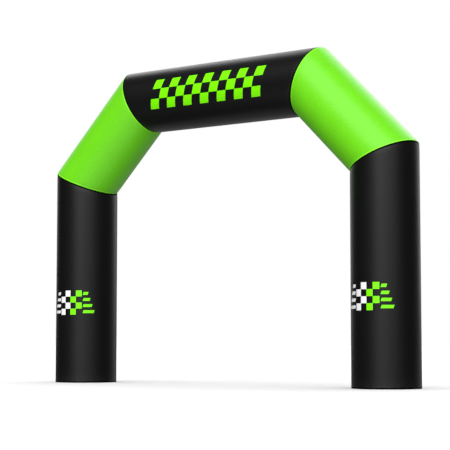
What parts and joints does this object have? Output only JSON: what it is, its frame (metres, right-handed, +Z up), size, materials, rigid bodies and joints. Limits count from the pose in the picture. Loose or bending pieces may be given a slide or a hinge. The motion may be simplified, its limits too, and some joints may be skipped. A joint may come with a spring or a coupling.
{
  "type": "inflatable arch",
  "caption": "Free-standing inflatable arch of air-filled fabric tubes: upright legs, sloping shoulders and a level beam over a gateway that people pass through.",
  "frame": {"origin": "on the floor, midway between the legs and midway through the tubes", "axes": "+X across the span towards the right leg as seen from the front, +Y from the front to the back, +Z up"},
  "size_m": [6, 0.895, 4.5],
  "materials": {
    "black_cloth": "satin black coated woven polyester, with a small printed chequer on each leg and on the beam",
    "green_cloth": "satin bright green coated woven polyester",
    "green_tape": "bright green woven seam tape, sewn along both edges",
    "base_panel": "matt black reinforced base cloth"
  },
  "bodies": {
    "root": {"base_left": "base_panel", "base_right": "base_panel", "leg_left": "black_cloth", "leg_right": "black_cloth", "shoulder_left": "green_cloth", "shoulder_right": "green_cloth", "beam": "black_cloth", "tape_elbow_left": "green_tape", "tape_crown_left": "green_tape", "tape_crown_right": "green_tape", "tape_elbow_right": "green_tape"}
  },
  "joints": []
}
